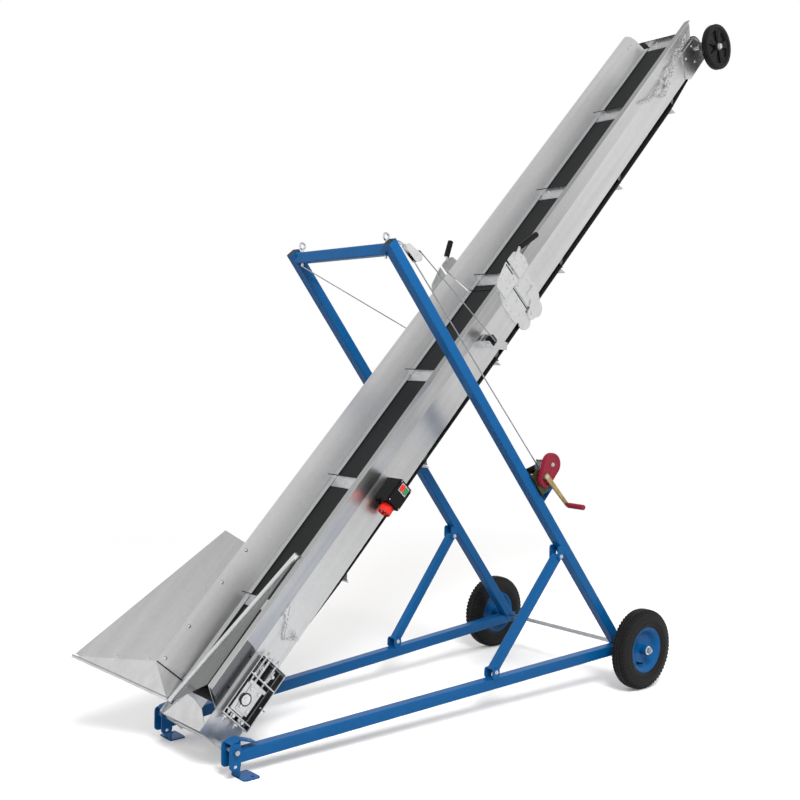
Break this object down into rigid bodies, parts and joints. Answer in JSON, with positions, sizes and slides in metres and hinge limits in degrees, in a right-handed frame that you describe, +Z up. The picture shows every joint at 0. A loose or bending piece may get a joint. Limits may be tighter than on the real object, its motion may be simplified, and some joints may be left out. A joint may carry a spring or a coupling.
{
  "type": "firewood conveyor",
  "caption": "Inclined folding trough conveyor for split firewood: a flighted belt in a steel trough on a two-wheeled stand with a mast and hand winch.",
  "frame": {"origin": "on the floor at the middle of the machine's length and width", "axes": "+X from the feet towards the discharge end, +Y to the left of the conveying direction, +Z up"},
  "size_m": [3.6479, 1.16, 3.5719],
  "materials": {
    "galvanised": "satin",
    "zinc_yellow": "satin",
    "blue_paint": "satin",
    "tyre_rubber": "matte",
    "belt_rubber": "matte",
    "wire_rope": "satin",
    "black_plastic": "matte",
    "red_plastic": "satin",
    "grey_plastic": "matte"
  },
  "bodies": {
    "stand": {"beam_left": "blue_paint", "beam_right": "blue_paint", "mast_leg_left": "blue_paint", "mast_leg_right": "blue_paint", "brace_left": "blue_paint", "brace_right": "blue_paint", "foot_left": "blue_paint", "foot_right": "blue_paint", "eyebolts": "galvanised", "crossbar": "blue_paint", "axle": "galvanised", "pivot_shaft": "galvanised", "winch_frame": "zinc_yellow", "winch_drum": "wire_rope", "winch_cover": "red_plastic", "winch_crank": "zinc_yellow", "top_block": "galvanised", "stay_left": "wire_rope", "stay_right": "wire_rope", "winch_rope": "wire_rope"},
    "wheel_left": {"tyre_left": "tyre_rubber", "rim_left": "blue_paint"},
    "wheel_right": {"tyre_right": "tyre_rubber", "rim_right": "blue_paint"},
    "lower_section": {"trough_lower": "galvanised", "belt_lower": "belt_rubber", "flights_lower": "galvanised", "tail_drum": "galvanised", "hopper_side": "galvanised", "hopper_front": "galvanised", "guide_plate": "galvanised", "end_sheet": "galvanised", "tensioners": "galvanised", "sheave_carriers": "galvanised", "rope_sheaves": "black_plastic", "rope_across": "wire_rope", "switch_box": "grey_plastic", "plug_inlet": "red_plastic", "hinge_leaves_lower": "galvanised"},
    "upper_section": {"trough_upper": "galvanised", "belt_upper": "belt_rubber", "flights_upper": "galvanised", "head_drum": "galvanised", "head_plates": "galvanised", "hinge_leaves_upper": "galvanised", "latch_levers": "galvanised"},
    "head_wheel_left": {"head_wheel_left": "black_plastic"},
    "head_wheel_right": {"head_wheel_right": "black_plastic"}
  },
  "joints": [
    {"name": "wheel_left_spin", "type": "hinge", "parent": "stand", "child": "wheel_left", "pos_m": [0.7691, 0.516, 0.2], "axis": [0, 1, 0], "continuous": true},
    {"name": "wheel_right_spin", "type": "hinge", "parent": "stand", "child": "wheel_right", "pos_m": [0.7691, -0.516, 0.2], "axis": [0, 1, 0], "continuous": true},
    {"name": "trough_incline", "type": "hinge", "parent": "stand", "child": "lower_section", "pos_m": [-1.4859, 0, 0.111], "axis": [0, -1, 0], "range_deg": [-28, 12], "deforming": ["stay_left", "stay_right"]},
    {"name": "section_fold", "type": "hinge", "parent": "lower_section", "child": "upper_section", "pos_m": [0.27984, 0, 1.87394], "axis": [0, 1, 0], "range_deg": [0, 100]},
    {"name": "head_wheel_left_spin", "type": "hinge", "parent": "upper_section", "child": "head_wheel_left", "pos_m": [1.69893, 0.243, 3.44691], "axis": [0, 1, 0], "continuous": true},
    {"name": "head_wheel_right_spin", "type": "hinge", "parent": "upper_section", "child": "head_wheel_right", "pos_m": [1.69893, -0.243, 3.44691], "axis": [0, 1, 0], "continuous": true}
  ]
}
